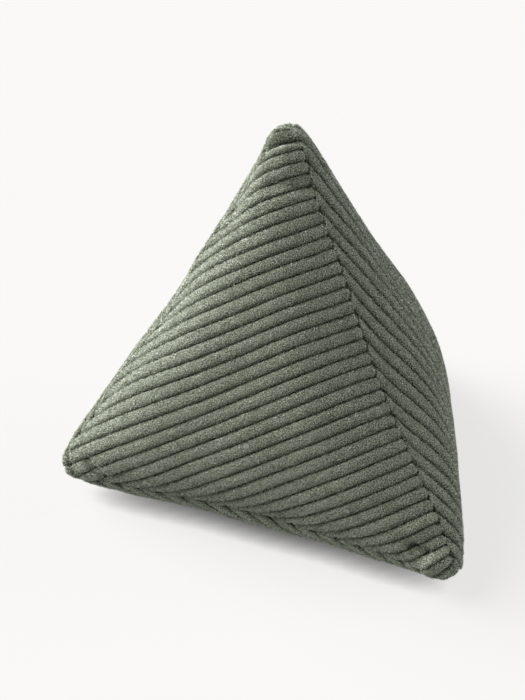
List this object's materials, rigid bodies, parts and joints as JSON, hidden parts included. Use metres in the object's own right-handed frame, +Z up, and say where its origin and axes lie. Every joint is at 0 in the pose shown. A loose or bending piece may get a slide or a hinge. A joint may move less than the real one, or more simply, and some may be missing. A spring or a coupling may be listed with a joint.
{
  "type": "wedge pillow",
  "caption": "Tetrahedral floor cushion in wide-wale sage green cord, one stuffed solid with crowned ribbed panels, drawn-in seams and blunt corners.",
  "frame": {"origin": "middle of the bounding box at the level of the surface that the pillow rests on", "axes": "+Z up, the front panel faces -Y, and its ribs run level from the seam on its +X side towards the -X corner"},
  "size_m": [0.382, 0.336, 0.3333],
  "materials": {
    "sage_cord": "wide-wale cord with a short dull pile"
  },
  "bodies": {
    "root": {"pillow": "sage_cord"}
  },
  "joints": []
}
